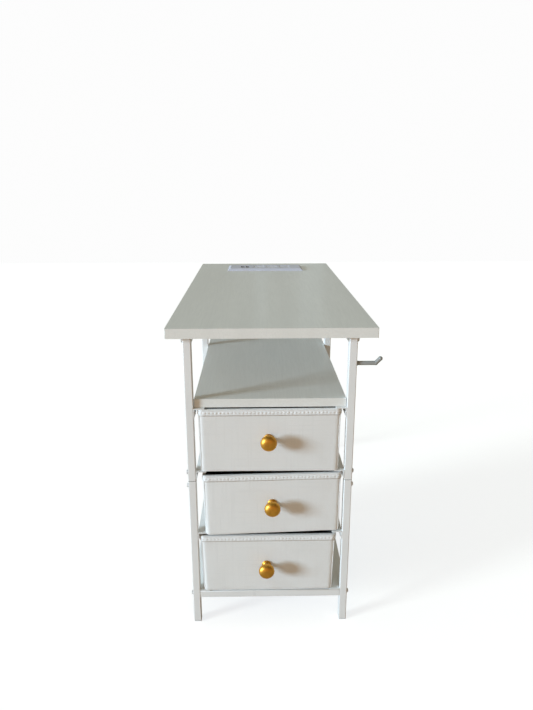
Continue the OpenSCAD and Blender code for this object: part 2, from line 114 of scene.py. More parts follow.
class Shader:
    """One material's node tree, with short calls for the nodes that these materials share."""

    def __init__(self, name, color, roughness, **inputs):
        self.material = bpy.data.materials.new(name)
        self.material.use_nodes = True
        self.material.diffuse_color = (*color, 1)
        self.tree = self.material.node_tree
        self.bsdf = self.tree.nodes["Principled BSDF"]
        self.bsdf.inputs["Base Color"].default_value = (*color, 1)
        self.bsdf.inputs["Roughness"].default_value = roughness
        for label, value in inputs.items():
            self.bsdf.inputs[label.replace("_", " ")].default_value = value
        self.coords = self.node("ShaderNodeTexCoord").outputs["Object"]

    def node(self, kind, links=(), **settings):
        return add_node(self.tree, kind, links, **settings)

    def stretched(self, scale):
        """Object coordinates, scaled apart along X, Y and Z."""
        return self.node("ShaderNodeMapping", {"Vector": self.coords, "Scale": scale}).outputs[0]

    def noise(self, scale, detail=3.0, stretch=None, rough=0.5):
        """Noise in object coordinates; a small stretch along an axis draws it out that way."""
        place = self.stretched(stretch) if stretch else self.coords
        links = {"Vector": place, "Scale": scale, "Detail": detail, "Roughness": rough}
        return self.node("ShaderNodeTexNoise", links).outputs["Fac"]

    def threads(self, axis, pitch):
        """Evenly spaced ridges across one axis, a pitch apart."""
        links = {"Vector": self.coords, "Scale": math.pi / (10 * pitch), "Distortion": 0.25,
                 "Detail": 1.0, "Detail Scale": 0.6}
        made = self.node("ShaderNodeTexWave", links, wave_type="BANDS", bands_direction=axis)
        return self.math("MULTIPLY", made.outputs["Fac"], self.along(axis))

    def along(self, axis):
        """1 where the surface runs along an axis, 0 where it faces it."""
        normal = self.node("ShaderNodeNewGeometry").outputs["True Normal"]
        split = self.node("ShaderNodeSeparateXYZ", {0: normal}).outputs[axis]
        facing = self.node("ShaderNodeMath", {0: split}, operation="ABSOLUTE").outputs[0]
        links = {"Value": facing, "From Min": 0.75, "From Max": 0.35}
        return self.node("ShaderNodeMapRange", links).outputs["Result"]

    def math(self, operation, a, b):
        return self.node("ShaderNodeMath", {0: a, 1: b}, operation=operation).outputs[0]

    def ramp(self, source, stops):
        """Grey or colour stops along a value: (place, colour)."""
        made = self.node("ShaderNodeValToRGB", {"Fac": source})
        elements = made.color_ramp.elements
        while len(elements) < len(stops):
            elements.new(0.5)
        for element, (place, color) in zip(elements, stops):
            element.position = place
            element.color = (*color, 1) if isinstance(color, tuple) else (color, color, color, 1)
        return made.outputs["Color"]

    def between(self, source, low, high):
        """A value between low and high where the source runs from 0 to 1."""
        links = {"Value": source, "To Min": low, "To Max": high}
        return self.node("ShaderNodeMapRange", links).outputs["Result"]

    def tint(self, color, other, amount):
        """A blend of two colours; amount is a socket from 0 to 1."""
        made = self.node("ShaderNodeMix", {"Factor": amount}, data_type="RGBA")
        for label, value in ((6, color), (7, other)):
            if isinstance(value, bpy.types.NodeSocket):
                self.tree.links.new(value, made.inputs[label])
            else:
                made.inputs[label].default_value = (*value, 1)
        return made.outputs[2]

    def set(self, label, source):
        """Link a socket to one of the shader's own inputs."""
        self.tree.links.new(source, self.bsdf.inputs[label])

    def bump(self, height, distance, strength=1.0, under=None):
        """Relief in metres, over another bump where one is given."""
        links = {"Height": height, "Distance": distance, "Strength": strength}
        if under is not None:
            links["Normal"] = under
        made = self.node("ShaderNodeBump", links).outputs["Normal"]
        self.set("Normal", made)
        return made


def scaled(color, factor):
    return tuple(min(1.0, c * factor) for c in color)


# ---------------------------------------------------------------- materials

def powder_coat(name, color, roughness=0.42):
    """Satin powder coat: orange-peel skin, slight cloudiness and a few faint scuffs."""
    s = Shader(name, color, roughness, Coat_Weight=0.12, Coat_Roughness=0.35)
    clouds = s.ramp(s.noise(9, 4), [(0.3, 0.0), (0.75, 1.0)])
    scuffs = s.ramp(s.noise(55, 6, stretch=(1, 1, 0.35), rough=0.7), [(0.62, 0.0), (0.74, 1.0)])
    base = s.tint(color, scaled(color, 0.94), clouds)
    s.set("Base Color", s.tint(base, scaled(color, 0.84), s.math("MULTIPLY", scuffs, 0.5)))
    s.set("Roughness", s.between(s.noise(30, 4), roughness - 0.07, roughness + 0.09))
    peel = s.bump(s.noise(1100, 2), 0.12 * MM, 0.35)
    s.bump(s.noise(160, 3), 0.2 * MM, 0.25, under=peel)
    return s.material


def laminate(name, color):
    """Matt white laminate with a faint straight grain along the board and a fine printed pore."""
    s = Shader(name, color, 0.40, Coat_Weight=0.13, Coat_Roughness=0.12)
    grain = s.noise(26, 6, stretch=(9, 0.55, 9), rough=0.62)
    bands = s.noise(5.5, 3, stretch=(4.2, 0.35, 4.2))
    pores = s.ramp(s.noise(90, 3, stretch=(14, 0.9, 14)), [(0.60, 0.0), (0.72, 1.0)])
    base = s.tint(color, scaled(color, 0.955), s.ramp(bands, [(0.35, 0.0), (0.68, 1.0)]))
    base = s.tint(base, scaled(color, 0.93), s.ramp(grain, [(0.42, 0.0), (0.72, 1.0)]))
    s.set("Base Color", s.tint(base, scaled(color, 0.86), s.math("MULTIPLY", pores, 0.45)))
    s.set("Roughness", s.between(grain, 0.34, 0.50))
    s.bump(grain, 0.10 * MM, 0.55)
    return s.material


def moulded(name, color, roughness, texture=0.35):
    """Moulded plastic: fine spark texture, slight cloudiness from the mould."""
    s = Shader(name, color, roughness, IOR=1.46)
    clouds = s.ramp(s.noise(24, 4), [(0.35, 0.0), (0.7, 1.0)])
    s.set("Base Color", s.tint(color, scaled(color, 0.93), clouds))
    s.set("Roughness", s.between(s.noise(140, 3), roughness - 0.05, roughness + 0.08))
    s.bump(s.noise(1500, 2), 0.08 * MM, texture)
    return s.material


def woven_cloth(name, color, pitch):
    """Plain-weave cloth: warp and weft ridges, slubs along both, and soft shade changes."""
    s = Shader(name, color, 0.86, Sheen_Weight=0.22, Sheen_Roughness=0.55, Specular_IOR_Level=0.25)
    s.bsdf.inputs["Sheen Tint"].default_value = (0.95, 0.95, 0.97, 1)
    ridges = s.math("ADD", s.threads("X", pitch), s.threads("Y", pitch))
    ridges = s.math("MULTIPLY", s.math("ADD", ridges, s.threads("Z", pitch)), 0.5)
    upright = s.noise(85, 4, stretch=(3.2, 3.2, 0.10), rough=0.6)
    level = s.noise(85, 4, stretch=(0.10, 0.10, 3.2), rough=0.6)
    slubs = s.ramp(s.math("MAXIMUM", upright, level), [(0.52, 0.0), (0.74, 1.0)])
    clouds = s.ramp(s.noise(7, 3), [(0.3, 0.0), (0.7, 1.0)])
    base = s.tint(color, scaled(color, 0.95), clouds)
    base = s.tint(base, scaled(color, 0.92), slubs)
    # painted shade: the base colour is darker in the grooves between the thread ridges
    s.set("Base Color", s.tint(base, scaled(color, 0.84), s.ramp(ridges, [(0.15, 1.0), (0.45, 0.0)])))
    weave = s.bump(ridges, 0.16 * MM, 0.7)
    s.bump(s.math("ADD", upright, level), 0.12 * MM, 0.4, under=weave)
    return s.material


def thread(name, color):
    """Twisted sewing thread."""
    s = Shader(name, color, 0.6, Sheen_Weight=0.3)
    s.set("Base Color", s.tint(color, scaled(color, 0.82), s.noise(2600, 2)))
    s.bump(s.noise(3200, 1), 0.06 * MM, 0.8)
    return s.material


def fibre_board(name, color):
    """Pressed fibre board: short fibres and darker specks."""
    s = Shader(name, color, 0.82)
    fibres = s.noise(420, 5, stretch=(1, 0.3, 1), rough=0.7)
    specks = s.ramp(s.noise(700, 3), [(0.66, 0.0), (0.74, 1.0)])
    base = s.tint(scaled(color, 1.12), scaled(color, 0.72), fibres)
    s.set("Base Color", s.tint(base, scaled(color, 0.45), specks))
    s.bump(fibres, 0.15 * MM, 0.6)
    return s.material


def brushed_gold(name, color):
    """Turned brass with a satin lacquer: fine rings round each knob's axis, which runs along Y."""
    s = Shader(name, color, 0.44, Metallic=1.0)
    rings = s.noise(1500, 2, stretch=(0.05, 1, 0.05))
    stain = s.ramp(s.noise(90, 5), [(0.4, 0.0), (0.8, 1.0)])
    s.set("Base Color", s.tint(color, scaled(color, 0.78), stain))
    s.set("Roughness", s.between(rings, 0.39, 0.51))
    s.bump(rings, 0.03 * MM, 0.5)
    return s.material


def zinc(name, color, metallic=1.0):
    """Zinc-plated steel: cloudy plating and a fine drawn grain."""
    s = Shader(name, color, 0.34, Metallic=metallic)
    clouds = s.ramp(s.noise(220, 5, rough=0.65), [(0.35, 0.0), (0.7, 1.0)])
    s.set("Base Color", s.tint(color, scaled(color, 0.72), clouds))
    s.set("Roughness", s.between(clouds, 0.26, 0.48))
    s.bump(s.noise(1800, 2), 0.04 * MM, 0.4)
    return s.material


def make_materials():
    """One material for each of the record's slots, and five more for details that only this
    script makes: binding, two threads, lining and the mains sockets' contacts. The hook's grey, the seam
    thread's darker colour and the lining's near-black are painted shade."""
    return {
        "frame_paint": powder_coat("white_powder_coat", (0.78, 0.78, 0.77)),
        "laminate": laminate("white_laminate", (0.76, 0.76, 0.725)),
        "bezel_plastic": moulded("lavender_grey_plastic", (0.60, 0.61, 0.70), 0.38),
        "housing_plastic": moulded("housing_plastic", (0.68, 0.68, 0.67), 0.45),
        "outlet_plastic": moulded("outlet_plastic", (0.66, 0.67, 0.73), 0.26, 0.15),
        "dark_plastic": moulded("black_plastic", (0.020, 0.021, 0.025), 0.42),
        "foot_plastic": moulded("foot_plastic", (0.66, 0.67, 0.68), 0.50),
        # painted shade: the hook's coat is white, and its mid-grey base colour stands in for the shade that
        # the hook mostly lies in
        "hook_metal": powder_coat("hook_coat_painted_shade", (0.31, 0.32, 0.31), 0.34),
        "drawer_fabric": woven_cloth("drawer_cloth", (0.80, 0.80, 0.785), 0.85 * MM),
        "fibre_board": fibre_board("fibre_board", (0.36, 0.25, 0.15)),
        "knob_gold": brushed_gold("brushed_gold", (0.76, 0.40, 0.065)),
        "bare_steel": zinc("zinc_plated_steel", (0.84, 0.85, 0.87), 0.7),
        "binding": woven_cloth("binding_tape", (0.82, 0.82, 0.81), 0.6 * MM),
        "thread": thread("white_thread", (0.90, 0.90, 0.90)),
        # a real seam, painted darker brown: painted shade for the shade line under the hem
        "seam": thread("seam_thread_painted_shade", (0.50, 0.44, 0.38)),
        # painted shade: near-black, so that the gaps between the drawers read black
        "lining": woven_cloth("lining_painted_shade", (0.10, 0.10, 0.105), 0.9 * MM),
        "contact": zinc("contact_brass", (0.55, 0.47, 0.30)),
    }


def paint_cad_nodes(materials):
    """Give each CAD node the material of its slot."""
    for row in frame["record"]["subparts"]:
        for slot in NODES[row["node"]].material_slots:
            slot.material = materials[row["material_slot"]]


def soften_edges():
    """Small rounded edges on the rigid CAD pieces, as a modifier, so that edges catch the light."""
    widths = {"table_top": 0.7, "shelf_board": 0.7, "power_bezel": 0.5, "power_outlets": 0.3,
              "power_housing": 0.5, "foot_caps": 0.3}
    for name, node in NODES.items():
        if name.endswith(("_post_upper", "_post_lower", "crossbar", "runners")) or "angles" in name:
            widths[name] = 0.35
    for name, width in widths.items():
        node = NODES[name]
        weld = node.modifiers.new("weld", "WELD")
        weld.merge_threshold = 0.02 * MM
        bevel = node.modifiers.new("soft_edges", "BEVEL")
        bevel.width = width * MM
        bevel.segments = 2
        bevel.limit_method = "ANGLE"
        bevel.angle_limit = math.radians(50)
        bevel.harden_normals = True


# ---------------------------------------------------------------- mesh helpers

def piece(name, mesh, body, material):
    """A mesh as a named piece that moves with a body and fills a slot."""
    obj = bpy.data.objects.new(name, mesh)
    bpy.context.scene.collection.objects.link(obj)
    mesh.materials.append(material)
    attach(obj, body)
    return obj


def skin(name, rings, loop=False, sharp=40):
    """A mesh through rings of points. Each ring closes on itself. The first and last rings are
    closed with a face, or joined to each other where loop is set."""
    count = len(rings[0])
    points = [p for ring in rings for p in ring]
    faces = []
    last = len(rings) if loop else len(rings) - 1
    for i in range(last):
        a, b = i * count, (i + 1) % len(rings) * count
        for j in range(count):
            k = (j + 1) % count
            faces.append((a + j, a + k, b + k, b + j))
    if not loop:
        faces.append(tuple(reversed(range(count))))
        faces.append(tuple(range((len(rings) - 1) * count, len(rings) * count)))
    mesh = bpy.data.meshes.new(name)
    mesh.from_pydata([tuple(p) for p in points], [], faces)
    mesh.validate()
    mesh.shade_smooth()
    mesh.set_sharp_from_angle(angle=math.radians(sharp))
    return mesh


def rounded_path(x0, x1, y0, y1, radius, step):
    """Points round a rounded rectangle from its front left corner, each with its outward direction.
    step counts the points on a front or back side, on a left or right side, and on a corner, so two
    paths with the same step match point for point."""
    found = []
    sides = [((x0 + radius, y0), (x1 - radius, y0)), ((x1, y0 + radius), (x1, y1 - radius)),
             ((x1 - radius, y1), (x0 + radius, y1)), ((x0, y1 - radius), (x0, y0 + radius))]
    middles = [(x1 - radius, y0 + radius), (x1 - radius, y1 - radius),
               (x0 + radius, y1 - radius), (x0 + radius, y0 + radius)]
    for i, ((start, end), middle) in enumerate(zip(sides, middles)):
        count = step[i % 2]
        out = Vector((math.sin(i * math.pi / 2), -math.cos(i * math.pi / 2), 0))
        a, b = Vector((*start, 0)), Vector((*end, 0))
        found += [(a.lerp(b, k / count), out) for k in range(count)]
        for k in range(step[2]):
            angle = (i - 1 + k / step[2]) * math.pi / 2
            turn = Vector((math.cos(angle), math.sin(angle), 0))
            found.append((Vector((*middle, 0)) + turn * radius, turn))
    return found


def tube_mesh(name, points, radius, sides=8):
    """A round tube along points, with closed ends."""
    rings = []
    for i, p in enumerate(points):
        ahead = points[min(i + 1, len(points) - 1)] - points[max(i - 1, 0)]
        across = ahead.orthogonal().normalized()
        up = ahead.normalized().cross(across)
        rings.append([p + (across * math.cos(a) + up * math.sin(a)) * radius
                      for a in (2 * math.pi * k / sides for k in range(sides))])
    return skin(name, rings)


def joined(name, meshes):
    """Several meshes as one."""
    points, faces = [], []
    for mesh in meshes:
        start = len(points)
        points += [tuple(v.co) for v in mesh.vertices]
        faces += [tuple(start + i for i in f.vertices) for f in mesh.polygons]
        bpy.data.meshes.remove(mesh)
    made = bpy.data.meshes.new(name)
    made.from_pydata(points, [], faces)
    made.shade_smooth()
    made.set_sharp_from_angle(angle=math.radians(45))
    return made


def lathe(name, outline, centre, turns=64):
    """A turned piece: outline points are (radius, distance out from the drawer front along -Y)."""
    rings = []
    for radius, out in outline:
        middle = Vector((centre.x, centre.y - out, centre.z))
        rings.append([middle + Vector((math.cos(a), 0, math.sin(a))) * radius
                      for a in (2 * math.pi * k / turns for k in range(turns))])
    return skin(name, rings, sharp=60)


# ---------------------------------------------------------------- fabric drawers

WALL = 4.0 * MM             # cloth over board, at the sides and the back
FRONT_WALL = 8.0 * MM       # cloth over board, at the front
FLOOR = 2.0 * MM            # cloth under the loose board
CORNER = 10.0 * MM          # radius of the upright outer corners
INNER_CORNER = 2.5 * MM     # radius of the upright inner corners
HEM = 12.6 * MM             # depth of the binding below the rim
STITCH_ROW = 7.0 * MM       # the stitches, below the rim
STITCH_PITCH = 8.4 * MM     # from one stitch to the next
STITCH_SHARE = 0.74         # part of the pitch that the thread lies outside
HEM_STEPS = (226, 302, 6)   # points along the hem: about 6 for each stitch
SIDE_STEPS = (72, 92, 5)    # points along the cloth's sides
SIDE_ROWS = 30              # rows of points up the cloth's outer side
SLACK_RIGHT = 46.0          # mm of loose cloth beside the front board's right end
SLACK_LEFT = 23.0           # mm of loose cloth beside its left end
BOARD_MARGIN = 12 * MM      # from a board's end to the corner

# How each drawer sits and has worn, in mm, left then right: lift of its rim, lift of its bottom, how
# far its bottom is drawn in, and how far its front's lower edge hangs in front of the runner; then
# the spread of its rim, and the depth of its dents and of its low creases
WEAR = {
    "upper": {"rim": (0.0, 0.5), "bottom": (0.0, 0.0), "drawn": (0.4, 1.8), "droop": (0.0, 1.8),
              "flare": 0.6, "dent": 0.7, "crease": 0.6},
    "middle": {"rim": (-2.4, 3.4), "bottom": (-0.3, 3.2), "drawn": (1.6, 1.2), "droop": (5.4, 0.0),
               "flare": 0.6, "dent": 0.9, "crease": 0.8},
    "lower": {"rim": (0.8, 1.0), "bottom": (0.0, 0.6), "drawn": (3.0, 3.2), "droop": (0.0, 0.0),
              "flare": 1.6, "dent": 1.0, "crease": 1.8},
}


class Drawer:
    """One drawer: the sewn cloth with its hem, seams, stitches and lining, its boards and its knob."""

    def __init__(self, level):
        self.level = level
        self.body = f"{level}_drawer"
        self.lo, self.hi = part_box(f"{level}_drawer_shell")
        self.mid = (self.lo + self.hi) / 2
        self.height = self.hi.z - self.lo.z
        self.wear = WEAR[level]
        self.seed = 7.3 * LEVELS.index(level)

    def seat(self, p):
        """Where the worn drawer's cloth sits, for a point of the plain box."""
        w = self.wear
        side = (p.x - self.mid.x) / (self.hi.x - self.mid.x)
        share = (side + 1) / 2
        up = (p.z - self.lo.z) / self.height
        rim = w["rim"][0] * (1 - share) + w["rim"][1] * share
        bottom = w["bottom"][0] * (1 - share) + w["bottom"][1] * share
        drawn = w["drawn"][0] if side < 0 else w["drawn"][1]
        spread = side * (w["flare"] * max(up, 0) ** 2 - drawn * max(0, 1 - up) ** 1.3)
        return Vector((p.x + spread * MM, p.y, p.z + (rim * up + bottom * (1 - up)) * MM))

    def dent(self, p, out):
        """Soft unevenness of the outer cloth, outwards, in metres."""
        w = self.wear
        up = (p.z - self.lo.z) / self.height
        at_front = out.y < -0.9
        # still under the hem, and free below it
        free = min(1.0, max(0.0, (0.93 - up) / 0.12))
        place = Vector((p.x * 9, p.y * 9 + self.seed, p.z * 13))
        broad = noise.noise(place) * w["dent"] * 0.9
        slant = Vector(((p.x + p.y) * 14 + p.z * 22, p.z * 46, self.seed))
        low = max(0.0, 1 - up * 1.8) * (1.0 if at_front else 0.3)
        ridge = (0.5 - abs(noise.noise(slant))) * w["crease"] * low
        slack = 0.0
        if at_front:
            # the cloth bends back a little between the end of the front board and the corner
            slack = -0.7 * max(0.0, 1 - (self.hi.x - p.x) / MM / SLACK_RIGHT) ** 0.8
            slack -= 0.25 * max(0.0, 1 - (p.x - self.lo.x) / MM / SLACK_LEFT)
        # the boards lie close behind the cloth of the sides and the back
        depth = 0.75 if abs(out.x) > 0.5 or out.y > 0 else 1.4
        return max(-depth, min(1.4, broad + ridge + slack)) * free * MM

    def paths(self, steps):
        """The outer and inner outlines, point for point."""
        lo, hi = self.lo, self.hi
        outer = rounded_path(lo.x, hi.x, lo.y, hi.y, CORNER, steps)
        inner = rounded_path(lo.x + WALL, hi.x - WALL, lo.y + FRONT_WALL, hi.y - WALL, INNER_CORNER, steps)
        return outer, inner

    def hang(self, p, normal):
        """How far the front's cloth hangs below its bottom edge at a point, in mm."""
        side = (p.x - self.mid.x) / (self.hi.x - self.mid.x)
        left, right = self.wear["droop"]
        return max(0.0, -normal.y) * (left * (1 - side) / 2 + right * (1 + side) / 2)

    def ring(self, path, z, out=0.0, worn=False, slack=0.0):
        """Points round a path at height z, pushed out; slack is the share of the front's hang."""
        found = []
        for p, normal in path:
            q = Vector((p.x, p.y, z))
            push = out + (self.dent(q, normal) if worn else 0.0)
            hang = slack * self.hang(q, normal)
            q = self.seat(q + normal * push)
            found.append(q + Vector((0, -0.5 * hang, -hang)) * MM)
        return found

    def shell(self):
        """The cloth from under the floor, up the outside, over the rim and down to the floor."""
        outer, inner = self.paths(SIDE_STEPS)
        bottom, rim = self.lo.z, self.hi.z - 0.6 * MM
        low, high = bottom + 3.2 * MM, rim - 1.2 * MM
        rings = [self.ring(outer, bottom + 0.2 * MM, -6 * MM), self.ring(outer, bottom + 0.2 * MM, -3 * MM),
                 self.ring(outer, bottom + 0.3 * MM, -0.5 * MM, slack=0.12),
                 self.ring(outer, bottom + 0.7 * MM, -0.9 * MM, slack=0.95)]
        for i in range(SIDE_ROWS + 1):
            share = i / SIDE_ROWS
            rings.append(self.ring(outer, low + (high - low) * share, worn=True, slack=(1 - share) ** 5))
        rings += [self.ring(outer, rim, -0.8 * MM), self.ring(inner, rim, 0.8 * MM)]
        depth = rim - bottom - FLOOR - 1.8 * MM
        rings += [self.ring(inner, high - depth * i / 8) for i in range(9)]
        rings.append(self.ring(inner, bottom + FLOOR, -0.6 * MM))
        return skin(f"{self.level}_drawer_cloth", rings, sharp=70)

    def lining(self):
        """Thin cloth over the inner walls and the boards, up to the hem; its near-black colour is painted
        shade, so that the gaps between the drawers read black.
        """
        _, inner = self.paths((36, 46, 5))
        low, top = self.lo.z + FLOOR + 3.3 * MM, self.hi.z - STITCH_ROW - 1.0 * MM
        rings = [self.ring(inner, low, -2.2 * MM), self.ring(inner, low, -1.0 * MM)]
        behind, before = low + 1.2 * MM, low + 1.6 * MM
        rings += [self.ring(inner, behind + (top - behind) * i / 8, -0.2 * MM) for i in range(9)]
        rings += [self.ring(inner, before + (top - before) * i / 8, -1.0 * MM) for i in range(8, -1, -1)]
        rings += [self.ring(inner, low + 0.8 * MM, -1.6 * MM), self.ring(inner, low + 0.8 * MM, -2.2 * MM)]
        return skin(f"{self.level}_drawer_lining", rings, sharp=60)

    def hem(self):
        """Binding folded over the rim: a rolled edge, a channel, and a band drawn in by each stitch."""
        outer, inner = self.paths(HEM_STEPS)
        rim = self.hi.z
        # (height below the rim, stand-off in mm, share of the stitches' pull), up the outside
        outside = [(HEM + 0.9 * MM, -0.3, 0), (HEM + 0.1 * MM, 1.25, 0.2), (HEM - 1.0 * MM, 1.7, 0.4),
                   (HEM - 2.4 * MM, 1.25, 0.7), (STITCH_ROW + 1.7 * MM, 1.15, 1), (STITCH_ROW, 1.2, 1.1),
                   (STITCH_ROW - 1.7 * MM, 1.15, 1), (4.2 * MM, 0.7, 0.5), (3.4 * MM, 0.15, 0.1),
                   (2.6 * MM, 0.75, 0), (1.5 * MM, 1.25, 0), (0.3 * MM, 0.8, 0), (-0.4 * MM, -0.4, 0)]
        # and down the inside
        inside = [(-0.5 * MM, -0.8, 0), (0.0, 0.3, 0), (1.5 * MM, 1.0, 0), (STITCH_ROW, 0.9, 0.6),
                  (STITCH_ROW + 1.2 * MM, 0.6, 0.1), (STITCH_ROW + 1.7 * MM, -0.4, 0)]
        lengths = [0.0]
        for (a, _), (b, _) in zip(outer, outer[1:]):
            lengths.append(lengths[-1] + (b - a).length)
        rings = []
        for path, sign, section in ((outer, 1, outside), (inner, -1, inside)):
            for below, stand, pull in section:
                ring = []
                for (p, normal), along in zip(path, lengths):
                    # full between stitches, and drawn in sharply where the thread goes through
                    turn = along / STITCH_PITCH % 1.0
                    puff = 0.45 - 1.25 * max(0.0, 1 - min(turn, 1 - turn) / 0.24) ** 2
                    ease = 0.25 * noise.noise(Vector((along * 60, below * 300, self.seed)))
                    stand_off = (stand + 0.62 * pull * puff + ease) * MM
                    q = Vector((p.x, p.y, rim - below)) + normal * (sign * stand_off)
                    ring.append(self.seat(q))
                rings.append(ring)
        return skin(f"{self.level}_drawer_hem", rings, loop=True, sharp=60)

    def seam(self):
        """The seam that closes the hem's lower edge, one line of thread all round; its darker colour is
        painted shade, for the shade line under the hem.
        """
        outer, _ = self.paths((90, 120, 6))
        radius, stand = 0.6, 0.35
        section = [(radius * math.cos(a), radius * math.sin(a)) for a in (k * math.pi / 3 for k in range(6))]
        rings = []
        for p, normal in outer:
            place = Vector((p.x, p.y, self.hi.z - HEM - 1.5 * MM))
            rings.append([self.seat(place + (normal * (u + stand) + Vector((0, 0, v))) * MM)
                          for u, v in section])
        return skin(f"{self.level}_drawer_seam", rings, loop=True, sharp=80)

    def stitches(self):
        """One row of stitches round the hem, as short lengths of thread that dip at both ends."""
        outer, _ = self.paths(HEM_STEPS)
        meshes = []
        along, start = 0.0, STITCH_PITCH / 2
        for (a, out_a), (b, _) in zip(outer, outer[1:] + outer[:1]):
            length = (b - a).length
            while start <= along + length:
                centre = a.lerp(b, (start - along) / max(length, 1e-9))
                meshes.append(self.stitch(centre, out_a))
                start += STITCH_PITCH
            along += length
        return joined(f"{self.level}_drawer_stitches", meshes)

    def stitch(self, centre, out):
        """One stitch: a short, slightly slanted thread that bows outwards."""
        tangent = Vector((-out.y, out.x, 0))
        half = STITCH_PITCH * STITCH_SHARE / 2
        points = []
        for share, rise in ((-1, 0.3), (-0.85, 1.2), (-0.35, 1.85), (0.35, 1.85), (0.85, 1.2), (1, 0.3)):
            p = centre + tangent * (share * half) + out * (rise * MM)
            points.append(self.seat(Vector((p.x, p.y, self.hi.z - STITCH_ROW + 0.9 * MM * share))))
        return tube_mesh("stitch", points, 0.62 * MM, sides=6)

    def boards(self):
        """The four boards in the walls, which follow the worn cloth."""
        lo, hi = self.lo, self.hi
        bottom, top = lo.z + FLOOR + 2 * MM, hi.z - 3 * MM
        left, right = lo.x + BOARD_MARGIN, hi.x - BOARD_MARGIN
        front, back = lo.y + BOARD_MARGIN, hi.y - BOARD_MARGIN
        plans = [(left, right, lo.y + 2 * MM, lo.y + 6 * MM), (left, right, hi.y - 3 * MM, hi.y - 1 * MM),
                 (lo.x + 1 * MM, lo.x + 3 * MM, front, back), (hi.x - 3 * MM, hi.x - 1 * MM, front, back)]
        meshes = []
        for x0, x1, y0, y1 in plans:
            rings = []
            for i in range(7):
                z = bottom + (top - bottom) * i / 6
                corners = ((x0, y0), (x1, y0), (x1, y1), (x0, y1))
                rings.append([self.seat(Vector((x, y, z))) for x, y in corners])
            meshes.append(skin("board", rings, sharp=30))
        return joined(f"{self.level}_drawer_wall_boards", meshes)

    def floor_board(self):
        """The loose board on the cloth floor."""
        gap = 4.2 * MM
        x0, x1 = self.lo.x + WALL + gap, self.hi.x - WALL - gap
        y0, y1 = self.lo.y + FRONT_WALL + gap, self.hi.y - WALL - gap
        rings = []
        for rise, inset in ((0.15, 0.4), (0.5, 0), (2.7, 0), (3.1, 0.4)):
            z, d = self.lo.z + FLOOR + rise * MM, inset * MM
            corners = ((x0 + d, y0 + d), (x1 - d, y0 + d), (x1 - d, y1 - d), (x0 + d, y1 - d))
            rings.append([self.seat(Vector((x, y, z))) for x, y in corners])
        return skin(f"{self.level}_drawer_floor_board", rings, sharp=30)

    def piping(self):
        """Narrow sewn ridge down each corner, where the panels meet."""
        lo, hi = self.lo, self.hi
        reach = CORNER * (1 - math.sqrt(0.5))
        foot = lo.z + 1.6 * MM
        meshes = []
        for x, sx in ((lo.x, -1), (hi.x, 1)):
            for y, sy in ((lo.y, -1), (hi.y, 1)):
                corner = Vector((x - sx * reach, y - sy * reach, 0))
                points = []
                for i in range(25):
                    z = foot + (hi.z - HEM - foot) * i / 24
                    wobble = 0.25 * noise.noise(Vector((x * 50, y * 50, z * 60 + self.seed)))
                    out = Vector((sx, sy, 0)).normalized() * (0.2 + wobble) * MM
                    points.append(self.seat(Vector((corner.x, corner.y, z)) + out))
                meshes.append(tube_mesh("seam", points, 1.15 * MM, sides=10))
        return joined(f"{self.level}_drawer_piping", meshes)

    def knob(self):
        """Turned knob: flat collar, waisted neck and a rounded, slightly flattened head."""
        lo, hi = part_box(f"{self.level}_drawer_knob")
        centre = Vector(((lo.x + hi.x) / 2, hi.y, (lo.z + hi.z) / 2))
        length, radius = hi.y - lo.y, (hi.x - lo.x) / 2
        # collar and neck, as radius and distance out, in mm
        turned = [(0, 0), (10.4, 0), (11.0, 0.6), (11.0, 1.7), (10.4, 2.4), (8.6, 3.1), (6.9, 4.4),
                  (5.9, 6.6), (5.5, 9.6), (5.7, 12.6), (6.8, 14.8)]
        outline = [(size * MM, out * MM) for size, out in turned]
        half = (length - outline[-1][1]) / 2
        middle = length - half
        # the head, from the end of the neck to a point on the axis
        for i in range(1, 25):
            angle = math.pi * (0.13 + 0.87 * i / 24)
            fullness = abs(math.sin(angle)) ** 0.78
            outline.append((max(radius * fullness, 0.01 * MM), middle - half * math.cos(angle)))
        return lathe(f"{self.level}_drawer_turned_knob", outline, centre)

    def build(self, materials):
        """All pieces of the drawer, and what each stands in for."""
        def add(part, mesh, material, replaced=None):
            made = piece(f"{self.level}_drawer_{part}", mesh, self.body, materials[material])
            if replaced:
                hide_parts(f"{self.level}_drawer_{replaced}")

        add("cloth", self.shell(), "drawer_fabric", "shell")
        add("lining", self.lining(), "lining")
        add("hem", self.hem(), "binding")
        add("stitches", self.stitches(), "thread")
        add("seam", self.seam(), "seam")
        add("piping", self.piping(), "binding")
        add("wall_boards", self.boards(), "fibre_board", "stiffeners")
        add("floor_board", self.floor_board(), "fibre_board", "base_board")
        add("turned_knob", self.knob(), "knob_gold", "knob")


# ---------------------------------------------------------------- power unit's metal parts

PORT_INSET = 5.5 * MM       # from an insert's side to the middle of its ports
PORT_OFFSET = 9 * MM        # from an insert's middle to the middle of a port
SOCKET_INSET = 17.5 * MM    # from the sockets' left end to the middle of the first
SOCKET_PITCH = 44 * MM      # from one socket to the next
SLOT_OFFSET = 6.3 * MM      # from a socket's middle to each flat pin's slot, sideways
SLOT_AHEAD = 2 * MM         # and towards the far end
LEAF_OFFSET = 0.85 * MM     # from the middle of a slot to each of its two leaves


def stack(x, y, levels):
    """A bar through rectangles round one upright line: (width, length, height) of each."""
    rings = []
    for width, length, z in levels:
        rings.append([Vector((x + sx * width / 2, y + sy * length / 2, z))
                      for sx, sy in ((-1, -1), (1, -1), (1, 1), (-1, 1))])
    return skin("bar", rings, sharp=30)


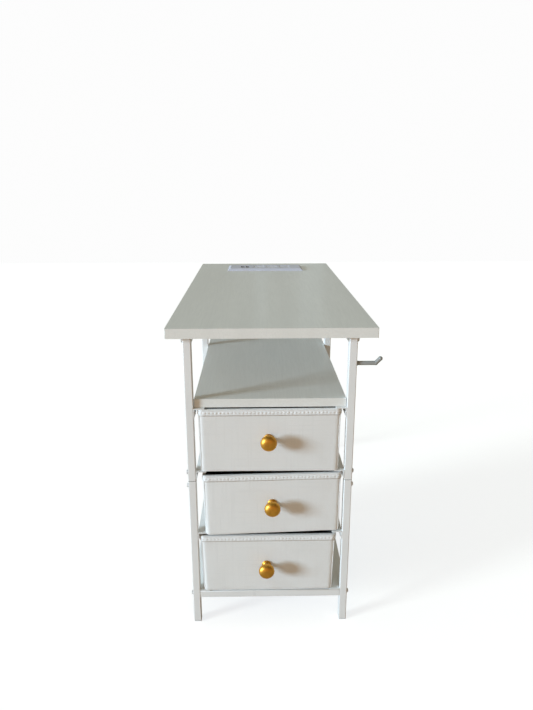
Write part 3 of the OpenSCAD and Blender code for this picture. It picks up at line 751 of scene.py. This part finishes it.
def make_port_liners(materials):
    """A steel liner and a tongue in each charger port."""
    lo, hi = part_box("usb_ports")
    middle = (lo.y + hi.y) / 2
    liner = ((4.9, 12.9, 10), (4.9, 12.9, 0.4), (4.3, 12.3, 0.4), (4.3, 12.3, 9.6))
    tongue = ((1.2, 10.4, 9.5), (1.2, 10.4, 1.6))
    meshes = []
    for x in (lo.x + PORT_INSET, hi.x - PORT_INSET):
        for y in (middle - PORT_OFFSET, middle + PORT_OFFSET):
            for across, section in ((0, liner), (0.9 * MM, tongue)):
                levels = [(w * MM, l * MM, hi.z - down * MM) for w, l, down in section]
                meshes.append(stack(x + across, y, levels))
    piece("usb_port_liners", joined("usb_port_liners", meshes), "root", materials["bare_steel"])


def make_socket_leaves(materials):
    """Two brass leaves in each flat pin's slot of the mains sockets."""
    lo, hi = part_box("power_outlets")
    y = (lo.y + hi.y) / 2 + SLOT_AHEAD
    levels = [(0.4 * MM, 7 * MM, hi.z - 8.8 * MM), (0.4 * MM, 7 * MM, hi.z - 2.2 * MM)]
    meshes = []
    for i in range(3):
        x = lo.x + SOCKET_INSET + SOCKET_PITCH * i
        for slot in (-SLOT_OFFSET, SLOT_OFFSET):
            for leaf in (-LEAF_OFFSET, LEAF_OFFSET):
                meshes.append(stack(x + slot + leaf, y, levels))
    piece("outlet_contacts", joined("outlet_contacts", meshes), "root", materials["contact"])


# ---------------------------------------------------------------- stage and light

def stage_panel(name, corners, material):
    """A four-cornered face that belongs to the stage, not to the object."""
    mesh = bpy.data.meshes.new(name)
    mesh.from_pydata(corners, [], [(0, 1, 2, 3)])
    mesh.materials.append(material)
    panel = bpy.data.objects.new(name, mesh)
    bpy.context.scene.collection.objects.link(panel)
    return panel


def make_floor():
    """A plain pale floor. It glows only to the camera, so that it looks almost white yet lights the
    object no more than a real floor would."""
    s = Shader("pale_floor", (0.60, 0.51, 0.42), 0.9, Specular_IOR_Level=0.0)
    s.bsdf.inputs["Emission Color"].default_value = (0.86, 0.93, 1.0, 1)
    seen = s.node("ShaderNodeLightPath").outputs["Is Camera Ray"]
    s.set("Emission Strength", s.math("MULTIPLY", seen, 0.76))
    size = 6.0
    corners = [(-size, -size, 0), (size, -size, 0), (size, size, 0), (-size, size, 0)]
    floor = stage_panel("floor", corners, s.material)
    floor.location.z = cad_box[0].z - 0.3 * MM


def make_reflectors():
    """Two tall pale panels far behind the table, seen only as faint streaks on glossy faces."""
    s = Shader("reflector", (0, 0, 0), 1.0, Emission_Strength=0.8)
    s.bsdf.inputs["Emission Color"].default_value = (0.92, 1, 1, 1)
    away, low, high = 5.8, 0.3, 4.5
    for i, (x, width) in enumerate(((0.03, 0.14), (0.67, 0.30))):
        left, right = x - width / 2, x + width / 2
        corners = [(left, away, low), (right, away, low), (right, away, high), (left, away, high)]
        panel = stage_panel(f"reflector_{i}", corners, s.material)
        panel.visible_camera = panel.visible_diffuse = panel.visible_shadow = False


def make_world():
    """Warm surroundings in front of the object, and paler, cooler ones behind and over it. The camera
    sees plain white."""
    world = bpy.data.worlds.new("studio")
    bpy.context.scene.world = world
    world.use_nodes = True
    tree = world.node_tree

    def blend(factor, a, b):
        return add_node(tree, "ShaderNodeMix", {"Factor": factor, 6: a, 7: b}, data_type="RGBA").outputs[2]

    def towards(axis, start, end):
        """0 before start and 1 beyond end, along one axis of the direction looked in."""
        links = {"Value": split[axis], "From Min": start, "From Max": end}
        return add_node(tree, "ShaderNodeMapRange", links).outputs[0]

    place = add_node(tree, "ShaderNodeTexCoord").outputs["Generated"]
    split = add_node(tree, "ShaderNodeSeparateXYZ", {0: place}).outputs
    ahead = towards("Y", 0.5, -0.7)
    above = towards("Z", 0.0, 0.8)
    right = towards("X", -0.2, 0.9)
    level = blend(ahead, (0.50, 0.48, 0.43, 1), (0.95, 0.47, 0.20, 1))
    level = blend(right, level, (0.34, 0.29, 0.24, 1))
    light = blend(above, level, (0.385, 0.405, 0.345, 1))
    path = add_node(tree, "ShaderNodeLightPath").outputs
    # polished metal mirrors a dim room over the warm floor
    mirrored = blend(above, level, (0.07, 0.065, 0.045, 1))
    light = blend(path["Is Glossy Ray"], light, mirrored)
    shown = blend(path["Is Camera Ray"], light, (0.98, 0.98, 0.98, 1))
    tree.links.new(shown, tree.nodes["Background"].inputs["Color"])


def make_key_light():
    """One soft, low, cool light from the left and a little in front, as from a large window."""
    sun = bpy.data.objects.new("key_light", bpy.data.lights.new("key_light", "SUN"))
    sun.data.energy = 4.3
    sun.data.angle = math.radians(15)
    sun.data.color = (0.64, 0.84, 1.0)
    azimuth, elevation = math.radians(23.6), math.radians(11.4)
    level = math.cos(elevation)
    travel = Vector((math.cos(azimuth) * level, math.sin(azimuth) * level, -math.sin(elevation)))
    sun.rotation_mode = "QUATERNION"
    sun.rotation_quaternion = travel.to_track_quat("-Z", "Y")
    bpy.context.scene.collection.objects.link(sun)
    bpy.context.scene.view_settings.view_transform = "Standard"


# ---------------------------------------------------------------- the whole scene

make_camera()
materials = make_materials()
paint_cad_nodes(materials)
soften_edges()
for level in LEVELS:
    Drawer(level).build(materials)
make_port_liners(materials)
make_socket_leaves(materials)
make_floor()
make_reflectors()
make_world()
make_key_light()
